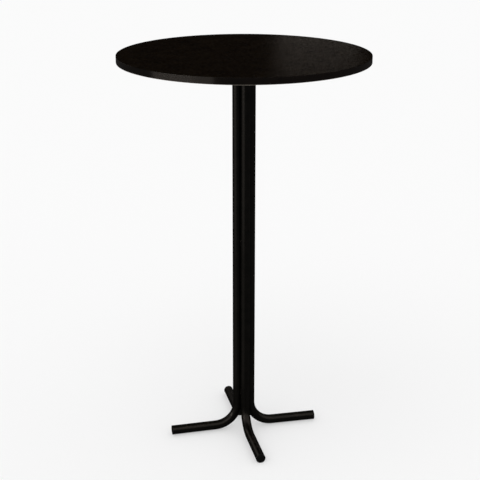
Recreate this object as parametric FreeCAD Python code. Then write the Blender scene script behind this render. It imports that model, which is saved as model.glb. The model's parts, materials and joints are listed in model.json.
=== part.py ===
"""High pub table: a round laminated top on a column of four bent steel tubes.

Lengths are in millimetres and angles in degrees. +Z is up, and the origin is on the
floor under the centre of the top. Each tube stands in the column, bends outward near
the floor and becomes one leg: right along +X, back along +Y, left along -X, front along -Y.
"""
import FreeCAD
import Part

import math
import os

# Whole table
table_height = 1067.0
top_diameter = 650.0

# Layers of the top
laminate_thickness = 0.5
core_thickness = 16.0
backing_thickness = 0.5
band_thickness = 1.0
band_glue_gap = 0.2
band_edge_radius = 0.3
band_edge_limit_share = 0.8
band_seam_gap = 0.3

# Tubes of the column and the legs
tube_diameter = 25.4
tube_wall = 1.2
tube_gap = 0.3
bend_radius = 63.5
leg_reach = 204.0
leg_droop = 0.5

# Plugs in the leg tips
plug_overhang = 0.25
plug_flange_thickness = 3.0
plug_rim_radius = 1.0
plug_dome_height = 1.0
plug_stem_length = 16.0
plug_stem_wall = 1.5
plug_stem_clearance = 0.8
plug_rib_clearance = 0.05
plug_rib_width = 1.2
plug_rib_count = 3
foot_flat_depth = 0.2

# Flat-bar cross that carries the top
cross_span = 420.0
bar_thickness = 5.0
bar_side_margin = 6.3
bar_corner_radius = 6.0
bar_edge_radius = 0.8
bar_edge_limit_share = 0.4

# Screws that hold the top to the cross
screw_diameter = 4.5
screw_root_diameter = 3.0
screw_pitch = 1.8
screw_point_least_length = 3.0
screw_tip_cover = 4.5
screw_head_diameter = 9.0
screw_head_height = 3.0
screw_head_rim = 1.0
screw_recess_length = 4.8
screw_recess_width = 1.0
screw_recess_depth = 1.8
screw_hole_clearance = 0.5
screw_thread_clearance = 0.05
screw_end_margin = 20.0
screw_column_margin = 50.0

# Weld beads
top_weld_leg = 3.0
top_weld_stop_angle = 3.0
corner_weld_leg = 4.0
stitch_rows = 3
stitch_length = 20.0
stitch_depth = 4.0
stitch_crown = 0.4
stitch_end_margin = 30.0

# How far a cutting shape runs past the face that it cuts
cut_overrun = 1.0

# Heights of the top's layers
underside_z = table_height - laminate_thickness - core_thickness - backing_thickness
core_bottom_z = underside_z + backing_thickness
core_top_z = core_bottom_z + core_thickness
cross_bottom_z = underside_z - bar_thickness

# Radii worked out from the sizes above
top_radius = top_diameter / 2
band_inner_radius = top_radius - band_thickness
core_radius = band_inner_radius - band_glue_gap
tube_radius = tube_diameter / 2
bore_radius = tube_radius - tube_wall
flange_radius = tube_radius + plug_overhang
half_pitch = (tube_diameter + tube_gap) / 2
strand_radius = half_pitch * math.sqrt(2)
bar_half_width = tube_radius + bar_side_margin
screw_radius = screw_diameter / 2

# Path of one tube, from its tip on the floor up to the cross
droop = math.radians(leg_droop)
turn = math.pi / 2 - droop
flange_body = plug_flange_thickness - plug_rim_radius
tip_z = flange_radius * math.cos(droop) + flange_body * math.sin(droop) - foot_flat_depth
bend_end_reach = strand_radius + bend_radius * (1 - math.cos(turn))
bend_end_z = tip_z + (leg_reach - bend_end_reach) * math.tan(droop)
bend_start_z = bend_end_z + bend_radius * math.sin(turn)
leg_length = (leg_reach - bend_end_reach) / math.cos(droop)

# Places that repeat round the table
leg_angles = {"right": 0, "back": 90, "left": 180, "front": 270}
groove_angles = [45, 135, 225, 315]
screw_reaches = [
    strand_radius + tube_radius + screw_column_margin,
    cross_span / 2 - screw_end_margin,
]

origin = FreeCAD.Vector(0, 0, 0)
up = FreeCAD.Vector(0, 0, 1)
sideways = FreeCAD.Vector(0, 1, 0)
outward = FreeCAD.Vector(1, 0, 0)


def point(x, y, z):
    return FreeCAD.Vector(x, y, z)


def line(start, end):
    return Part.LineSegment(start, end).toShape()


def arc(start, middle, end):
    return Part.Arc(start, middle, end).toShape()


def chain(points):
    """Straight edges from each point to the next."""
    return [line(start, end) for start, end in zip(points, points[1:])]


def filled(edges):
    return Part.Face(Part.Wire(edges))


def disc(radius, centre, normal):
    return filled([Part.Circle(centre, normal, radius).toShape()])


def turned(shape, angle):
    """A copy of the shape, turned about the table's axis."""
    copy = shape.copy()
    copy.rotate(origin, up, angle)
    return copy


def moved(shape, offset):
    copy = shape.copy()
    copy.translate(offset)
    return copy


def round_every_screw(shape):
    """Copies of a shape that stands on the table's axis, one at each screw."""
    copies = []
    for angle in leg_angles.values():
        for reach in screw_reaches:
            copies.append(turned(moved(shape, outward * reach), angle))
    return copies


def screw_tip_z():
    return core_top_z - screw_tip_cover


def pilot_holes():
    """The holes in the underside of the top, one for each screw."""
    bottom_z = underside_z - cut_overrun
    radius = screw_radius + screw_thread_clearance
    depth = screw_tip_z() + screw_thread_clearance - bottom_z
    return round_every_screw(Part.makeCylinder(radius, depth, point(0, 0, bottom_z)))


def top_core():
    board = Part.makeCylinder(core_radius, core_thickness, point(0, 0, core_bottom_z))
    return board.cut(pilot_holes())


def top_laminate():
    return Part.makeCylinder(core_radius, laminate_thickness, point(0, 0, core_top_z))


def backing_laminate():
    sheet = Part.makeCylinder(core_radius, backing_thickness, point(0, 0, underside_z))
    return sheet.cut(pilot_holes())


def edge_band():
    """The strip round the rim, with eased corners and a butt seam at the back."""
    radius = min(band_edge_radius, band_thickness * band_edge_limit_share)
    bulge = radius * math.sqrt(0.5)
    inner = band_inner_radius
    outer = top_radius
    low = underside_z
    high = table_height
    section = filled([
        line(point(inner, 0, low), point(outer - radius, 0, low)),
        arc(point(outer - radius, 0, low),
            point(outer - radius + bulge, 0, low + radius - bulge),
            point(outer, 0, low + radius)),
        line(point(outer, 0, low + radius), point(outer, 0, high - radius)),
        arc(point(outer, 0, high - radius),
            point(outer - radius + bulge, 0, high - radius + bulge),
            point(outer - radius, 0, high)),
        line(point(outer - radius, 0, high), point(inner, 0, high)),
        line(point(inner, 0, high), point(inner, 0, low)),
    ])
    seam_angle = math.degrees(band_seam_gap / top_radius)
    strip = section.revolve(origin, up, 360 - seam_angle)
    return turned(strip, leg_angles["back"] + seam_angle / 2)


def tube_section(centre, normal):
    return disc(tube_radius, centre, normal).cut(disc(bore_radius, centre, normal))


def right_tube():
    """The tube whose leg points along +X: strand, bend and leg as one piece of pipe."""
    bend_centre = point(strand_radius + bend_radius, 0, bend_start_z)
    leg_direction = point(math.cos(droop), 0, -math.sin(droop))
    strand_foot = tube_section(point(strand_radius, 0, bend_start_z), up)
    leg_root = tube_section(point(bend_end_reach, 0, bend_end_z), leg_direction)
    strand = strand_foot.extrude(up * (cross_bottom_z - bend_start_z))
    bend = strand_foot.revolve(bend_centre, -sideways, math.degrees(turn))
    leg = leg_root.extrude(leg_direction * leg_length)
    return strand.fuse([bend, leg]).removeSplitter()


def plug_profile():
    """Half section of a plug on the XZ plane: its flange face is at x = 0 and its dome faces +X."""
    stem_radius = bore_radius - plug_stem_clearance
    rib_radius = bore_radius - plug_rib_clearance
    hollow_radius = stem_radius - plug_stem_wall
    shoulder = flange_radius - plug_rim_radius
    bulge = plug_rim_radius * math.sqrt(0.5)
    apex = plug_flange_thickness + plug_dome_height

    # The dome is a shallow sphere that starts inside the rounded rim
    sphere_radius = (shoulder ** 2 + plug_dome_height ** 2) / (2 * plug_dome_height)
    dome_middle = shoulder / 2
    dome_x = apex - sphere_radius + math.sqrt(sphere_radius ** 2 - dome_middle ** 2)

    dome = arc(point(apex, 0, 0), point(dome_x, 0, dome_middle), point(plug_flange_thickness, 0, shoulder))
    rim = arc(point(plug_flange_thickness, 0, shoulder),
              point(flange_body + bulge, 0, shoulder + bulge),
              point(flange_body, 0, flange_radius))
    outside = [point(flange_body, 0, flange_radius), point(0, 0, flange_radius), point(0, 0, stem_radius)]
    rib_step = plug_stem_length / (plug_rib_count + 1)
    for rib in range(plug_rib_count):
        near = -rib_step * (rib + 1) + plug_rib_width / 2
        far = near - plug_rib_width
        outside += [point(near, 0, stem_radius), point(near, 0, rib_radius)]
        outside += [point(far, 0, rib_radius), point(far, 0, stem_radius)]
    outside += [point(-plug_stem_length, 0, stem_radius), point(-plug_stem_length, 0, hollow_radius)]
    outside += [point(0, 0, hollow_radius), point(0, 0, 0), point(apex, 0, 0)]
    return filled([dome, rim] + chain(outside))


def right_plug():
    """The plug in the tip of the leg along +X, flat where it stands on the floor."""
    plug = plug_profile().revolve(origin, outward, 360)
    plug.rotate(origin, sideways, leg_droop)
    plug.translate(point(leg_reach, 0, tip_z))
    floor_size = 2 * (flange_radius + plug_stem_length)
    floor = Part.makeBox(floor_size, floor_size, floor_size)
    floor.translate(point(leg_reach - floor_size / 2, -floor_size / 2, -floor_size))
    return plug.cut(floor)


def bar_holes():
    radius = screw_radius + screw_hole_clearance
    bottom_z = cross_bottom_z - cut_overrun
    depth = bar_thickness + 2 * cut_overrun
    return round_every_screw(Part.makeCylinder(radius, depth, point(0, 0, bottom_z)))


def bar_along_x(start, end):
    bar = Part.makeBox(end - start, 2 * bar_half_width, bar_thickness)
    return moved(bar, point(start, -bar_half_width, cross_bottom_z))


def is_level(edge):
    box = edge.BoundBox
    return box.ZLength < bar_thickness / 2


def rounded_bar(start, end):
    """A bar along +X with round corners at each end that is a tip of the cross, and with eased edges."""
    bar = bar_along_x(start, end)
    reach = cross_span / 2 - cut_overrun
    corners = [edge for edge in bar.Edges if not is_level(edge) and abs(edge.CenterOfMass.x) > reach]
    bar = bar.makeFillet(bar_corner_radius, corners)

    # The butt end of a short bar stays sharp where it meets the long bar
    eased = []
    for edge in bar.Edges:
        at_butt_end = abs(edge.CenterOfMass.x - start) < cut_overrun and abs(start) < reach
        if is_level(edge) and not at_butt_end:
            eased.append(edge)
    return bar.makeFillet(min(bar_edge_radius, bar_thickness * bar_edge_limit_share), eased)


def cross_bar():
    """The long bar of the cross, above the right and left tubes."""
    return rounded_bar(-cross_span / 2, cross_span / 2).cut(bar_holes())


def cross_arm(side):
    """A short bar of the cross, butted against the long one."""
    return turned(rounded_bar(bar_half_width, cross_span / 2), leg_angles[side]).cut(bar_holes())


def screw_profile():
    """Half section of a screw that points up: z = 0 is the bearing face of its head."""
    head_radius = screw_head_diameter / 2
    root_radius = screw_root_diameter / 2
    length = screw_tip_z() - cross_bottom_z
    dome_height = screw_head_height - screw_head_rim
    sphere_radius = (head_radius ** 2 + dome_height ** 2) / (2 * dome_height)
    dome_middle = head_radius / 2
    dome_z = -screw_head_height + sphere_radius - math.sqrt(sphere_radius ** 2 - dome_middle ** 2)
    dome = arc(point(0, 0, -screw_head_height),
               point(dome_middle, 0, dome_z),
               point(head_radius, 0, -screw_head_rim))

    side = [point(head_radius, 0, -screw_head_rim), point(head_radius, 0, 0), point(root_radius, 0, 0)]
    side.append(point(root_radius, 0, bar_thickness))
    thread_length = length - screw_point_least_length - bar_thickness
    for thread in range(int(thread_length / screw_pitch)):
        root_z = bar_thickness + thread * screw_pitch
        side.append(point(screw_radius, 0, root_z + screw_pitch / 2))
        side.append(point(root_radius, 0, root_z + screw_pitch))
    # The point runs on from the last whole thread
    side += [point(0, 0, length), point(0, 0, -screw_head_height)]
    return filled([dome] + chain(side))


def top_screws():
    """Pan-head screws with a cross recess, up through the cross into the top."""
    screw = screw_profile().revolve(origin, up, 360)
    recess = Part.makeBox(screw_recess_length, screw_recess_width, screw_recess_depth + cut_overrun)
    recess.translate(point(-screw_recess_length / 2, -screw_recess_width / 2, -screw_head_height - cut_overrun))
    screw = screw.cut([recess, turned(recess, 90)])
    return Part.makeCompound(round_every_screw(moved(screw, up * cross_bottom_z)))


def tube_top_welds():
    """Fillet beads under the cross, round the outer side of each tube."""
    bead_radius = tube_radius + top_weld_leg
    # A bead stops short of the plane midway between its tube and the next one
    next_tube_angle = 135
    half_sweep = next_tube_angle - math.degrees(math.acos(half_pitch / bead_radius)) - top_weld_stop_angle
    corner = point(strand_radius + tube_radius, 0, cross_bottom_z)
    section = filled(chain([corner, corner + outward * top_weld_leg, corner - up * top_weld_leg, corner]))
    tube_axis = outward * strand_radius
    section.rotate(tube_axis, up, -half_sweep)
    bead = section.revolve(tube_axis, up, 2 * half_sweep)
    return Part.makeCompound([turned(bead, angle) for angle in leg_angles.values()])


def cross_corner_welds():
    """Beads in the four inner corners where the short bars meet the long one."""
    corner = point(bar_half_width, bar_half_width, cross_bottom_z)
    outline = [corner, corner + outward * corner_weld_leg, corner + sideways * corner_weld_leg, corner]
    bead = filled(chain(outline)).extrude(up * bar_thickness)
    return Part.makeCompound([turned(bead, angle) for angle in leg_angles.values()])


def groove_point(depth, side):
    """A point on one tube's surface, the given depth outward from where two tubes all but touch."""
    return point(half_pitch + depth, side * (half_pitch - math.sqrt(tube_radius ** 2 - depth ** 2)), 0)


def stitch():
    """A short bead deep in the groove between two tubes, with the groove along +X."""
    middle_depth = stitch_depth / 2
    crown = point(half_pitch + stitch_depth + stitch_crown, 0, 0)
    section = filled([
        arc(groove_point(0, -1), groove_point(middle_depth, -1), groove_point(stitch_depth, -1)),
        arc(groove_point(stitch_depth, -1), crown, groove_point(stitch_depth, 1)),
        arc(groove_point(stitch_depth, 1), groove_point(middle_depth, 1), groove_point(0, 1)),
        line(groove_point(0, 1), groove_point(0, -1)),
    ])
    return section.extrude(up * stitch_length)


def column_stitch_welds():
    lowest = bend_start_z + stitch_end_margin
    highest = cross_bottom_z - stitch_end_margin - stitch_length
    beads = []
    for row in range(stitch_rows):
        height = lowest + (highest - lowest) * row / (stitch_rows - 1)
        for angle in groove_angles:
            beads.append(turned(moved(stitch(), up * height), angle))
    return Part.makeCompound(beads)


def all_pieces():
    pieces = {
        "top_core": top_core(),
        "top_laminate": top_laminate(),
        "backing_laminate": backing_laminate(),
        "edge_band": edge_band(),
        "cross_bar": cross_bar(),
        "cross_arm_front": cross_arm("front"),
        "cross_arm_back": cross_arm("back"),
        "top_screws": top_screws(),
        "tube_top_welds": tube_top_welds(),
        "cross_corner_welds": cross_corner_welds(),
        "column_stitch_welds": column_stitch_welds(),
    }
    tube = right_tube()
    plug = right_plug()
    for side, angle in leg_angles.items():
        pieces["tube_" + side] = turned(tube, angle)
        pieces["end_plug_" + side] = turned(plug, angle)
    return pieces


os.makedirs("parts", exist_ok=True)
for name, shape in all_pieces().items():
    shape.exportStep("parts/" + name + ".step")
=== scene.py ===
"""Looks of the high pub table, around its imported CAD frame.

Lengths are in metres. Left and right are as the camera sees them.
"""

import json
import math
import random

import bmesh
import bpy
from mathutils import Matrix, Vector


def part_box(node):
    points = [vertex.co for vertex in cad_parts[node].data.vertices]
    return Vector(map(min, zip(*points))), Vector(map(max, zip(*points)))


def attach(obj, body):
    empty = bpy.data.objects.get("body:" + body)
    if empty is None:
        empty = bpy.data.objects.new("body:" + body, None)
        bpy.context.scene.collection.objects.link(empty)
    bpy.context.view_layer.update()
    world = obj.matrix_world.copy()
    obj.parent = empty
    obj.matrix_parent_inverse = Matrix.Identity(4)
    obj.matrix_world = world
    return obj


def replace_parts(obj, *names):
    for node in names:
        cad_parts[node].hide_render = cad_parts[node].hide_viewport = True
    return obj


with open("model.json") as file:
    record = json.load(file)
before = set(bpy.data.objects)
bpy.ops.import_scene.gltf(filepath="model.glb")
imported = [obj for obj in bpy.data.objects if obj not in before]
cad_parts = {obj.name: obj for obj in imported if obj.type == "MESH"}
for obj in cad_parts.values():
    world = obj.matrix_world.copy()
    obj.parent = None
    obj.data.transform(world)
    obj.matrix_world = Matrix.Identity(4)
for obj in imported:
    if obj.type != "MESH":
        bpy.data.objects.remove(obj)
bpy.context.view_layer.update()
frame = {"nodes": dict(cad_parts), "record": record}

# Camera, from the table's outline in the photo
camera_lens_mm = 82.057
camera_azimuth = math.radians(-13.0)
camera_distance = 2.7801
camera_height = 1.5397
aim_left = 0.0104
aim_height = 0.5645

up = Vector((0, 0, 1))
toward_camera = Vector((math.sin(camera_azimuth), -math.cos(camera_azimuth), 0))
leftward = Vector((-math.cos(camera_azimuth), -math.sin(camera_azimuth), 0))

# Even light from all round, and a weak sun
white = (1, 1, 1, 1)
world_level = 0.92
sun_level = 0.4
sun_spread = math.radians(50)
sun_elevation = math.radians(62)
sun_side = math.radians(30)

# Floor, which glows a little so that the table's shadow on it stays light
floor_width = 120.0
floor_colour = (0.56, 0.56, 0.56, 1)
floor_roughness = 0.9
floor_glow = 0.384

# Colour of the panels below, which only reflections show
warm_white = (1.0, 0.9, 0.8)

# Panel on the left, which draws the highlights on the tubes
key_side = math.radians(50)
key_distance = 0.95
key_height = 0.53
key_width = 1.08
key_tallness = 0.66
key_brightness = 4.9

# Panel on top of that one, which draws the highlight on the rim
upper_side = math.radians(48.2)
upper_height = 0.97
upper_width = 0.93
upper_tallness = 0.22
upper_brightness = 5.2

# Low panel near the column on the left, which carries its highlights on down to the bends
near_side = math.radians(50)
near_distance = 0.29
near_width = 0.34
near_tallness = 0.37
near_brightness = 2.0

# Panel beyond those, which adds to the highlight on the left bend
bend_side = math.radians(60)
bend_distance = 2.9
bend_height = 0.92
bend_width = 1.9
bend_tallness = 0.30
bend_brightness = 64.0

# Wide panel high in front, on the right, which lightens the bends and the tops of the legs
high_side = math.radians(-34)
high_elevation = math.radians(47)
high_distance = 4.2
high_width = 13.0
high_tallness = 4.2
high_brightness = 7.8

# Panel behind the table on the left, which draws the far edges of the legs
back_side = math.radians(126)
back_elevation = math.radians(28)
back_distance = 3.2
back_width = 1.6
back_tallness = 1.6
back_brightness = 9.0

# Low panel behind the table on the left, which lightens the back leg
rear_side = math.radians(150)
rear_distance = 0.95
rear_height = 0.54
rear_width = 0.7
rear_tallness = 0.42
rear_brightness = 2.5

# Panel far behind the table, to the right of its axis, which lightens that side of the top
rim_distance = 8.0
rim_left_edge = 0.332
rim_height = 2.0
rim_width = 0.80
rim_tallness = 0.758
rim_brightness = 23.5

# Places on the steel frame and the edge strip, read from their nodes
cross_low, cross_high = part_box("cross_bar")
tube_low, tube_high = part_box("tube_right")
cross_bottom = cross_low.z
bar_thickness = cross_high.z - cross_low.z
bar_half_width = cross_high.y
tube_radius = tube_high.y
strand_radius = tube_low.x + tube_radius
half_pitch = strand_radius / math.sqrt(2)
band_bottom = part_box("edge_band")[0].z

# From a tube to the groove beside it: about the table's axis, and round the tube from its outer side
groove_turn = math.radians(45)
groove_angle = math.radians(135)

# Weld beads
top_bead_leg = cross_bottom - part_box("tube_top_welds")[0].z
top_bead_stop_angle = math.radians(3)
corner_bead_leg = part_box("cross_corner_welds")[1].x - bar_half_width
stitch_rows = 3
stitch_length = 0.020
stitch_depth = 0.004
bead_ripple_length = 0.0017
bead_ripple_height = 0.0003
bead_ripple_bow = 0.45
bead_crown = 0.0004
bead_end_length = 0.002
bead_end_least_share = 0.3
bead_wobble_share = 0.06
bead_wobble_length = 0.011
steps_per_ripple = 7
points_across_bead = 9
dice = random.Random(4)

# Paint that closes the hairlines between the tubes
seam_bottom = 0.078
seam_depth = 0.0012
seam_sink = 0.0001
seam_hollow = 0.0001

# Spans that hold most of a noise, and most of a sum of noises
noise_span = (0.3, 0.7)
tone_span = (0.36, 0.64)

# Numbers of the Mix node's colour sockets, which share their names with others
mix_first_colour = 6
mix_second_colour = 7
mix_result = 2


class Look:
    """A material's nodes, with short calls for what the materials below share."""

    def __init__(self, name):
        self.material = bpy.data.materials.new(name)
        self.material.use_nodes = True
        self.tree = self.material.node_tree
        self.shader = self.tree.nodes["Principled BSDF"]
        self.place = self.tree.nodes.new("ShaderNodeTexCoord").outputs["Object"]

    def add(self, kind):
        return self.tree.nodes.new("ShaderNode" + kind)

    def link(self, output, target):
        self.tree.links.new(output, target)

    def constant(self, **values):
        """Set inputs of the shader that are the same all over."""
        for name, value in values.items():
            self.shader.inputs[name.replace("_", " ")].default_value = value

    def drive(self, name, output):
        """Let a pattern set an input of the shader."""
        self.link(output, self.shader.inputs[name])

    def squeezed(self, x, y, z):
        """Texture coordinates squeezed along each axis, which draws the pattern out along the others."""
        node = self.add("Mapping")
        node.inputs["Scale"].default_value = (x, y, z)
        self.link(self.place, node.inputs["Vector"])
        return node.outputs["Vector"]

    def noise(self, size, detail=2.0, place=None):
        """Soft noise whose blotches are about the given size across."""
        node = self.add("TexNoise")
        node.inputs["Scale"].default_value = 1 / size
        node.inputs["Detail"].default_value = detail
        self.link(place or self.place, node.inputs["Vector"])
        return node.outputs["Fac"]

    def flakes(self, size, place):
        """A random level for each of many cells of about the given size."""
        node = self.add("TexVoronoi")
        node.inputs["Scale"].default_value = 1 / size
        self.link(place, node.inputs["Vector"])
        split = self.add("SeparateColor")
        self.link(node.outputs["Color"], split.inputs["Color"])
        return split.outputs["Red"]

    def height(self):
        """Height above the floor."""
        split = self.add("SeparateXYZ")
        self.link(self.place, split.inputs["Vector"])
        return split.outputs["Z"]

    def facing_up(self):
        """From 1 where the surface faces up to -1 where it faces down."""
        split = self.add("SeparateXYZ")
        self.link(self.add("NewGeometry").outputs["Normal"], split.inputs["Vector"])
        return split.outputs["Z"]

    def rescale(self, value, span, levels=(0.0, 1.0)):
        """A value stretched from a span to two levels, and held at them outside it."""
        node = self.add("MapRange")
        node.inputs["From Min"].default_value, node.inputs["From Max"].default_value = span
        node.inputs["To Min"].default_value, node.inputs["To Max"].default_value = levels
        self.link(value, node.inputs["Value"])
        return node.outputs["Result"]

    def product(self, *values):
        """All the values multiplied together."""
        result = values[0]
        for value in values[1:]:
            node = self.add("Math")
            node.operation = "MULTIPLY"
            self.link(result, node.inputs[0])
            self.link(value, node.inputs[1])
            result = node.outputs["Value"]
        return result

    def sum(self, *weighted):
        """The sum of pairs of a value and its weight."""
        result = None
        for value, weight in weighted:
            node = self.add("Math")
            node.operation = "MULTIPLY_ADD"
            factor, multiplier, addend = node.inputs
            self.link(value, factor)
            multiplier.default_value = weight
            addend.default_value = 0.0
            if result:
                self.link(result, addend)
            result = node.outputs["Value"]
        return result

    def blend(self, share, first, second):
        """A colour between two: each is an output or three plain numbers."""
        node = self.add("Mix")
        node.data_type = "RGBA"
        self.link(share, node.inputs["Factor"])
        for colour, index in ((first, mix_first_colour), (second, mix_second_colour)):
            if isinstance(colour, tuple):
                node.inputs[index].default_value = (*colour, 1)
            else:
                self.link(colour, node.inputs[index])
        return node.outputs[mix_result]

    def relief(self, *layers):
        """Bump the surface and its coat by pairs of a height pattern and its depth."""
        normal = None
        for pattern, depth in layers:
            node = self.add("Bump")
            node.inputs["Strength"].default_value = 1.0
            node.inputs["Distance"].default_value = depth
            self.link(pattern, node.inputs["Height"])
            if normal:
                self.link(normal, node.inputs["Normal"])
            normal = node.outputs["Normal"]
        self.drive("Normal", normal)
        self.drive("Coat Normal", normal)


def laminate():
    """Near-black brown sheet with a mottled print, a matt texture and a faint sheen."""
    cloud_size = 0.040
    blotch_size = 0.011
    grain_size = 0.0022
    cloud_share = 0.3
    blotch_share = 0.45
    grain_share = 0.25
    mottle_span = (0.38, 0.62)
    dark_brown = (0.0010, 0.0004, 0.0001)
    light_brown = (0.0044, 0.0025, 0.0010)
    fleck_grain_span = (0.6, 0.72)
    fleck_blotch_span = (0.5, 0.62)
    fleck_colour = (0.011, 0.007, 0.0036)
    roughness_levels = (0.5, 0.65)
    pebble_size = 0.0065
    pebble_share = 0.7
    mottle_share = 0.3
    sheen_span = (0.34, 0.66)
    sheen_levels = (0.0006, 0.0094)
    ripple_depth = 0.00001
    texture_size = 0.0009
    texture_depth = 0.000003
    look = Look("laminate")
    clouds = look.noise(cloud_size, detail=3.0)
    blotches = look.noise(blotch_size, detail=4.0)
    grains = look.noise(grain_size)
    mottle = look.sum((clouds, cloud_share), (blotches, blotch_share), (grains, grain_share))
    brown = look.blend(look.rescale(mottle, mottle_span), dark_brown, light_brown)
    flecks = look.product(look.rescale(grains, fleck_grain_span), look.rescale(blotches, fleck_blotch_span))
    look.drive("Base Color", look.blend(flecks, brown, fleck_colour))
    look.drive("Roughness", look.rescale(blotches, noise_span, roughness_levels))
    pebbles = look.noise(pebble_size, detail=1.0)
    sheen = look.sum((pebbles, pebble_share), (mottle, mottle_share))
    look.drive("Coat Weight", look.rescale(sheen, sheen_span, sheen_levels))
    look.relief((blotches, ripple_depth), (look.noise(texture_size), texture_depth))
    look.constant(Specular_IOR_Level=0.0, Coat_Roughness=0.22)
    return look.material


def backing():
    """Plain dark sheet under the top, with fine sanding lines and hand marks."""
    line_width = 0.0004
    line_stretch_share = 0.012
    smudge_size = 0.09
    speck_size = 0.0016
    line_share = 0.4
    smudge_share = 0.35
    speck_share = 0.25
    dark_brown = (0.005, 0.0042, 0.0036)
    light_brown = (0.014, 0.012, 0.0105)
    roughness_levels = (0.45, 0.7)
    line_depth = 0.00001
    look = Look("backing")
    lines = look.noise(line_width, place=look.squeezed(1.0, line_stretch_share, 1.0))
    smudges = look.noise(smudge_size, detail=4.0)
    specks = look.noise(speck_size)
    tone = look.sum((lines, line_share), (smudges, smudge_share), (specks, speck_share))
    look.drive("Base Color", look.blend(look.rescale(tone, tone_span), dark_brown, light_brown))
    look.drive("Roughness", look.rescale(smudges, noise_span, roughness_levels))
    look.relief((lines, line_depth))
    look.constant(Specular_IOR_Level=0.2)
    return look.material


def edge_strip():
    """Satin strip with fine lines drawn along it, matt on top, with a painted highlight along its lower
    edge.
    """
    line_height = 0.0005
    line_stretch_share = 0.02
    patch_size = 0.02
    line_share = 0.5
    patch_share = 0.5
    dark_brown = (0.0011, 0.0005, 0.0002)
    light_brown = (0.0028, 0.0015, 0.0008)
    # Painted highlight: a pale, patchy line along the strip's lower edge
    edge_highlight_height = 0.0011
    edge_highlight_patch_span = (0.2, 0.6)
    edge_highlight_patch_levels = (0.6, 1.0)
    edge_highlight_colour = (0.27, 0.24, 0.205)
    roughness_levels = (0.4, 0.5)
    top_face_span = (0.3, 0.7)
    gloss_levels = (0.028, 0.002)
    line_depth = 0.000002
    look = Look("edge_strip")
    lines = look.noise(line_height, place=look.squeezed(line_stretch_share, line_stretch_share, 1.0))
    patches = look.noise(patch_size, detail=3.0)
    tone = look.sum((lines, line_share), (patches, patch_share))
    brown = look.blend(look.rescale(tone, tone_span), dark_brown, light_brown)
    # Painted highlight: the pale line along the lower edge, broken up by the patches
    lower_edge_band = look.rescale(look.height(), (band_bottom + edge_highlight_height, band_bottom))
    painted_edge_highlight = look.product(lower_edge_band, look.rescale(patches, edge_highlight_patch_span, edge_highlight_patch_levels))
    look.drive("Base Color", look.blend(painted_edge_highlight, brown, edge_highlight_colour))
    look.drive("Roughness", look.rescale(patches, noise_span, roughness_levels))
    look.drive("Coat Weight", look.rescale(look.facing_up(), top_face_span, gloss_levels))
    look.relief((lines, line_depth))
    look.constant(Specular_IOR_Level=0.0, Coat_Roughness=0.15, Coat_IOR=2.0)
    return look.material


def board():
    """Raw chipboard: pressed flakes from pale to dark brown."""
    flake_size = 0.004
    flake_flatness = 3.0
    fibre_size = 0.0006
    flake_share = 0.7
    fibre_share = 0.3
    flake_span = (0.15, 0.85)
    dark_wood = (0.24, 0.15, 0.08)
    pale_wood = (0.58, 0.44, 0.28)
    roughness_levels = (0.8, 0.95)
    flake_depth = 0.0001
    look = Look("board")
    chips = look.flakes(flake_size, look.squeezed(1.0, 1.0, flake_flatness))
    fibres = look.noise(fibre_size, detail=3.0)
    tone = look.sum((chips, flake_share), (fibres, fibre_share))
    look.drive("Base Color", look.blend(look.rescale(tone, flake_span), dark_wood, pale_wood))
    look.drive("Roughness", look.rescale(fibres, noise_span, roughness_levels))
    look.relief((chips, flake_depth))
    look.constant(Specular_IOR_Level=0.1)
    return look.material


def black_steel():
    """Satin black powder coat: orange peel, cloudy tone, and shoe scuffs on the tops of the legs."""
    cloud_size = 0.025
    speck_size = 0.0012
    cloud_share = 0.6
    speck_share = 0.4
    deep_black = (0.0010, 0.0009, 0.0006)
    soft_black = (0.0026, 0.0022, 0.0017)
    scuff_reach_height = 0.06
    scuff_full_height = 0.028
    scuff_face_span = (0.3, 0.8)
    scuff_size = 0.006
    scuff_span = (0.5, 0.68)
    scuff_patch_size = 0.045
    scuff_patch_span = (0.42, 0.6)
    scuff_colour = (0.016, 0.012, 0.009)
    roughness_levels = (0.45, 0.55)
    peel_size = 0.0022
    peel_depth = 0.000012
    fine_peel_size = 0.0007
    fine_peel_depth = 0.000002
    look = Look("black_steel")
    clouds = look.noise(cloud_size, detail=3.0)
    specks = look.noise(speck_size)
    tone = look.sum((clouds, cloud_share), (specks, speck_share))
    black = look.blend(look.rescale(tone, tone_span), deep_black, soft_black)
    low_down = look.rescale(look.height(), (scuff_reach_height, scuff_full_height))
    on_top = look.rescale(look.facing_up(), scuff_face_span)
    rubbed = look.rescale(look.noise(scuff_size, detail=5.0), scuff_span)
    patches = look.rescale(look.noise(scuff_patch_size), scuff_patch_span)
    scuffs = look.product(low_down, on_top, rubbed, patches)
    look.drive("Base Color", look.blend(scuffs, black, scuff_colour))
    look.drive("Roughness", look.rescale(clouds, noise_span, roughness_levels))
    peel = look.noise(peel_size, detail=1.0)
    fine_peel = look.noise(fine_peel_size, detail=1.0)
    look.relief((peel, peel_depth), (fine_peel, fine_peel_depth))
    look.constant(Specular_IOR_Level=0.0, Coat_Weight=0.0165, Coat_Roughness=0.24, Coat_IOR=2.0)
    return look.material


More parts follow.
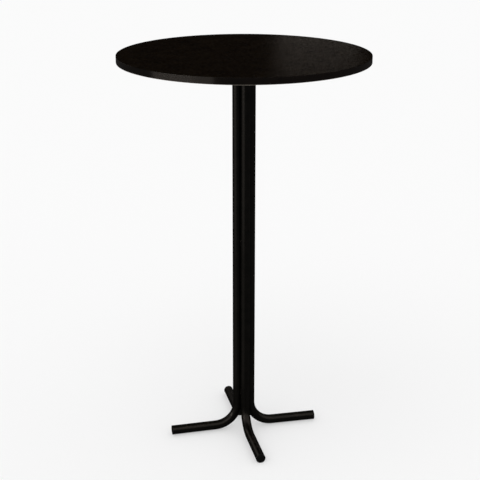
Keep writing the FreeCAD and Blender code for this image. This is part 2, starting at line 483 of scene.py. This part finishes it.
def plug_plastic():
    """Moulded black plastic with a spark-eroded grain, dusty near the floor."""
    patch_size = 0.006
    grain_size = 0.00045
    deep_black = (0.0014, 0.0014, 0.0013)
    soft_black = (0.0030, 0.0029, 0.0027)
    dust_height = 0.006
    dust_grain_span = (0.4, 0.7)
    dust_colour = (0.012, 0.010, 0.008)
    roughness_levels = (0.5, 0.6)
    grain_depth = 0.00002
    look = Look("plug_plastic")
    patches = look.noise(patch_size, detail=3.0)
    grain = look.noise(grain_size)
    black = look.blend(look.rescale(patches, noise_span), deep_black, soft_black)
    near_floor = look.rescale(look.height(), (dust_height, 0.0))
    dust = look.product(near_floor, look.rescale(grain, dust_grain_span))
    look.drive("Base Color", look.blend(dust, black, dust_colour))
    look.drive("Roughness", look.rescale(patches, noise_span, roughness_levels))
    look.relief((grain, grain_depth))
    look.constant(Specular_IOR_Level=0.0, Coat_Weight=0.0165, Coat_Roughness=0.35, Coat_IOR=2.0)
    return look.material


def screw_steel():
    """Zinc plate: bright cloudy metal with fine tool marks."""
    cloud_size = 0.002
    mark_size = 0.0004
    dull_zinc = (0.44, 0.45, 0.46)
    bright_zinc = (0.66, 0.65, 0.62)
    roughness_levels = (0.28, 0.48)
    mark_depth = 0.00001
    look = Look("screw_steel")
    clouds = look.noise(cloud_size, detail=3.0)
    marks = look.noise(mark_size, detail=3.0)
    look.drive("Base Color", look.blend(look.rescale(clouds, noise_span), dull_zinc, bright_zinc))
    look.drive("Roughness", look.rescale(marks, noise_span, roughness_levels))
    look.relief((marks, mark_depth))
    look.constant(Metallic=1.0)
    return look.material


def all_looks():
    """Each material under the name of its slot in the record."""
    makers = [laminate, backing, edge_strip, board, black_steel, plug_plastic, screw_steel]
    return {maker.__name__: maker() for maker in makers}


def dress_nodes(looks):
    """Give each CAD node the material of its slot."""
    for subpart in frame["record"]["subparts"]:
        mesh_object = frame["nodes"][subpart["node"]]
        mesh_object.material_slots[0].material = looks[subpart["material_slot"]]


def add_object(name, data):
    """Put a mesh, lamp or camera into the scene."""
    thing = bpy.data.objects.new(name, data)
    bpy.context.scene.collection.objects.link(thing)
    return thing


def quarter_turned(angle):
    """Four turns about the table's axis, a quarter apart, the first by the given angle."""
    return [Matrix.Rotation(angle + math.radians(90 * quarter), 3, "Z") for quarter in range(4)]


def bead_ring(corners, distance, length, start):
    """Points across a bead at a distance along it: its root, then its face from toe to toe."""
    root, first_toe, last_toe = corners
    outward = ((first_toe + last_toe) / 2 - root).normalized()
    # Rounded off at both ends, and a little uneven along the way
    wobble = math.sin(2 * math.pi * (distance / bead_wobble_length + start))
    end_share = min(distance, length - distance, bead_end_length) / bead_end_length
    fullness = bead_end_least_share + (1 - bead_end_least_share) * math.sqrt(1 - (1 - end_share) ** 2)
    fullness *= 1 - bead_wobble_share * (1 + wobble) / 2
    ring = [root]
    for index in range(points_across_bead):
        across = index / (points_across_bead - 1)
        # From 0 at the toes to 1 midway between them
        arch = 4 * across * (1 - across)
        ripple = abs(math.sin(math.pi * (distance / bead_ripple_length + start - bead_ripple_bow * arch)))
        swell = (bead_crown + bead_ripple_height * (ripple - 1)) * math.sqrt(arch)
        face = first_toe.lerp(last_toe, across) + outward * swell
        ring.append(root.lerp(face, fullness))
    return ring


def add_walls(shape, near, far):
    """Join two rings of a mesh's points by a wall of faces."""
    for index in range(len(near)):
        after = (index + 1) % len(near)
        shape.faces.new((near[index], near[after], far[after], far[index]))


def add_bead(shape, length, corners_at):
    """Add a rippled bead to a mesh. Its root and two toes are given for any distance along it."""
    start = dice.random()
    step_count = round(length / bead_ripple_length * steps_per_ripple)
    rings = []
    for step in range(step_count + 1):
        distance = length * step / step_count
        ring = bead_ring(corners_at(distance), distance, length, start)
        rings.append([shape.verts.new(place) for place in ring])
    for near, far in zip(rings, rings[1:]):
        add_walls(shape, near, far)
    shape.faces.new(rings[0])
    shape.faces.new(rings[-1])


def add_top_bead(shape, turn):
    """A bead under the cross, round the outer side of one tube."""
    bead_radius = tube_radius + top_bead_leg
    half_sweep = groove_angle - math.acos(half_pitch / bead_radius) - top_bead_stop_angle
    middle = Vector((strand_radius, 0, cross_bottom))

    def corners_at(distance):
        angle = distance / tube_radius - half_sweep
        radial = Vector((math.cos(angle), math.sin(angle), 0))
        root = middle + radial * tube_radius
        return [turn @ corner for corner in (root, root + radial * top_bead_leg, root - up * top_bead_leg)]

    add_bead(shape, 2 * half_sweep * tube_radius, corners_at)


def add_corner_bead(shape, turn):
    """A bead in an inner corner of the cross."""
    along_x = Vector((corner_bead_leg, 0, 0))
    along_y = Vector((0, corner_bead_leg, 0))

    def corners_at(distance):
        root = Vector((bar_half_width, bar_half_width, cross_bottom + distance))
        return [turn @ corner for corner in (root, root + along_x, root + along_y)]

    add_bead(shape, bar_thickness, corners_at)


def add_stitch_bead(shape, turn, height):
    """A short bead deep in the groove between two tubes."""
    toe_side = half_pitch - math.sqrt(tube_radius ** 2 - stitch_depth ** 2)
    toe_out = half_pitch + stitch_depth

    def corners_at(distance):
        level = height + distance
        root = Vector((half_pitch, 0, level))
        first_toe = Vector((toe_out, -toe_side, level))
        last_toe = Vector((toe_out, toe_side, level))
        return [turn @ corner for corner in (root, first_toe, last_toe)]

    add_bead(shape, stitch_length, corners_at)


def add_seam(shape, turn):
    """A strip of paint in the hairline between two tubes, with a hollow face outside."""
    half_width = half_pitch - tube_radius + seam_sink
    inside = half_pitch - seam_depth
    outline = [(inside, -half_width), (half_pitch, -half_width), (half_pitch - seam_hollow, 0),
               (half_pitch, half_width), (inside, half_width)]
    ends = []
    for level in (seam_bottom, cross_bottom):
        ends.append([shape.verts.new(turn @ Vector((*corner, level))) for corner in outline])
    low, high = ends
    add_walls(shape, low, high)
    shape.faces.new(low)
    shape.faces.new(high)


def finish_piece(name, shape, looks):
    """Turn a mesh into a black steel piece of the table."""
    bmesh.ops.recalc_face_normals(shape, faces=shape.faces)
    mesh = bpy.data.meshes.new(name)
    shape.to_mesh(mesh)
    shape.free()
    mesh.materials.append(looks["black_steel"])
    piece = add_object(name, mesh)
    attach(piece, "root")
    return piece


def finish_beads(name, node, shape, looks):
    """Turn a mesh of beads into a piece that stands for its smooth CAD node."""
    for face in shape.faces:
        face.smooth = True
    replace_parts(finish_piece(name, shape, looks), node)


def add_top_beads(looks):
    shape = bmesh.new()
    for turn in quarter_turned(0):
        add_top_bead(shape, turn)
    finish_beads("tube_top_beads", "tube_top_welds", shape, looks)


def add_corner_beads(looks):
    shape = bmesh.new()
    for turn in quarter_turned(0):
        add_corner_bead(shape, turn)
    finish_beads("cross_corner_beads", "cross_corner_welds", shape, looks)


def add_stitch_beads(looks):
    low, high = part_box("column_stitch_welds")
    rise = (high.z - low.z - stitch_length) / (stitch_rows - 1)
    shape = bmesh.new()
    for row in range(stitch_rows):
        for turn in quarter_turned(groove_turn):
            add_stitch_bead(shape, turn, low.z + rise * row)
    finish_beads("column_stitch_beads", "column_stitch_welds", shape, looks)


def add_seams(looks):
    shape = bmesh.new()
    for turn in quarter_turned(groove_turn):
        add_seam(shape, turn)
    finish_piece("tube_paint_seams", shape, looks)


def add_floor():
    mesh = bpy.data.meshes.new("floor")
    half = floor_width / 2
    corners = [(-half, -half, 0), (half, -half, 0), (half, half, 0), (-half, half, 0)]
    mesh.from_pydata(corners, [], [(0, 1, 2, 3)])
    floor = add_object("floor", mesh)
    look = Look("floor")
    look.constant(Base_Color=floor_colour, Roughness=floor_roughness, Specular_IOR_Level=0.0)
    look.constant(Emission_Color=white, Emission_Strength=floor_glow)
    look.material.cycles.emission_sampling = "NONE"
    mesh.materials.append(look.material)


def add_world():
    world = bpy.data.worlds.new("studio")
    world.use_nodes = True
    background = world.node_tree.nodes["Background"]
    background.inputs["Color"].default_value = white
    background.inputs["Strength"].default_value = world_level
    bpy.context.scene.world = world


def toward(side, elevation=0.0):
    """The direction from the table that is turned to the camera's left, and raised, by two angles."""
    level = toward_camera * math.cos(side) + leftward * math.sin(side)
    return level * math.cos(elevation) + up * math.sin(elevation)


def aim(thing, centre, target):
    """Put a lamp or camera at a place, turned to face a target."""
    thing.location = centre
    thing.rotation_mode = "QUATERNION"
    thing.rotation_quaternion = (target - centre).to_track_quat("-Z", "Y")


def add_sun():
    data = bpy.data.lights.new("overhead", "SUN")
    data.energy = sun_level
    data.angle = sun_spread
    aim(add_object("overhead", data), toward(sun_side, sun_elevation), Vector())


def add_panel(name, centre, target, width, tallness, brightness):
    """A soft panel that only reflections show. Brightness 1 is white paper in plain light."""
    data = bpy.data.lights.new(name, "AREA")
    data.shape = "RECTANGLE"
    data.size = width
    data.size_y = tallness
    data.energy = brightness * math.pi * width * tallness
    data.color = warm_white
    lamp = add_object(name, data)
    aim(lamp, centre, target)
    lamp.visible_camera = False
    lamp.visible_diffuse = False


def add_upright_panel(name, side, distance, height, width, tallness, brightness):
    """A panel that stands upright and faces the table's axis."""
    middle = up * height
    add_panel(name, toward(side) * distance + middle, middle, width, tallness, brightness)


def add_tilted_panel(name, side, elevation, distance, width, tallness, brightness):
    """A raised panel that faces the foot of the column."""
    add_panel(name, toward(side, elevation) * distance, Vector(), width, tallness, brightness)


def add_lights():
    add_world()
    add_sun()
    add_upright_panel("key", key_side, key_distance, key_height,
                      key_width, key_tallness, key_brightness)
    add_upright_panel("upper", upper_side, key_distance, upper_height,
                      upper_width, upper_tallness, upper_brightness)
    add_upright_panel("near", near_side, near_distance, near_tallness / 2,
                      near_width, near_tallness, near_brightness)
    add_upright_panel("bend", bend_side, bend_distance, bend_height,
                      bend_width, bend_tallness, bend_brightness)
    add_tilted_panel("high", high_side, high_elevation, high_distance,
                     high_width, high_tallness, high_brightness)
    add_tilted_panel("back", back_side, back_elevation, back_distance,
                     back_width, back_tallness, back_brightness)
    add_upright_panel("rear", rear_side, rear_distance, rear_height,
                      rear_width, rear_tallness, rear_brightness)
    rim_right = rim_left_edge + rim_width / 2
    rim_centre = toward_camera * -rim_distance - leftward * rim_right + up * rim_height
    add_panel("rim", rim_centre, rim_centre + toward_camera,
              rim_width, rim_tallness, rim_brightness)


def add_camera():
    data = bpy.data.cameras.new("camera")
    data.lens = camera_lens_mm
    camera = add_object("camera", data)
    place = toward_camera * camera_distance + up * camera_height
    aim(camera, place, leftward * aim_left + up * aim_height)
    bpy.context.scene.camera = camera


all_materials = all_looks()
dress_nodes(all_materials)
add_top_beads(all_materials)
add_corner_beads(all_materials)
add_stitch_beads(all_materials)
add_seams(all_materials)
add_floor()
add_lights()
add_camera()
bpy.context.scene.view_settings.view_transform = "Standard"
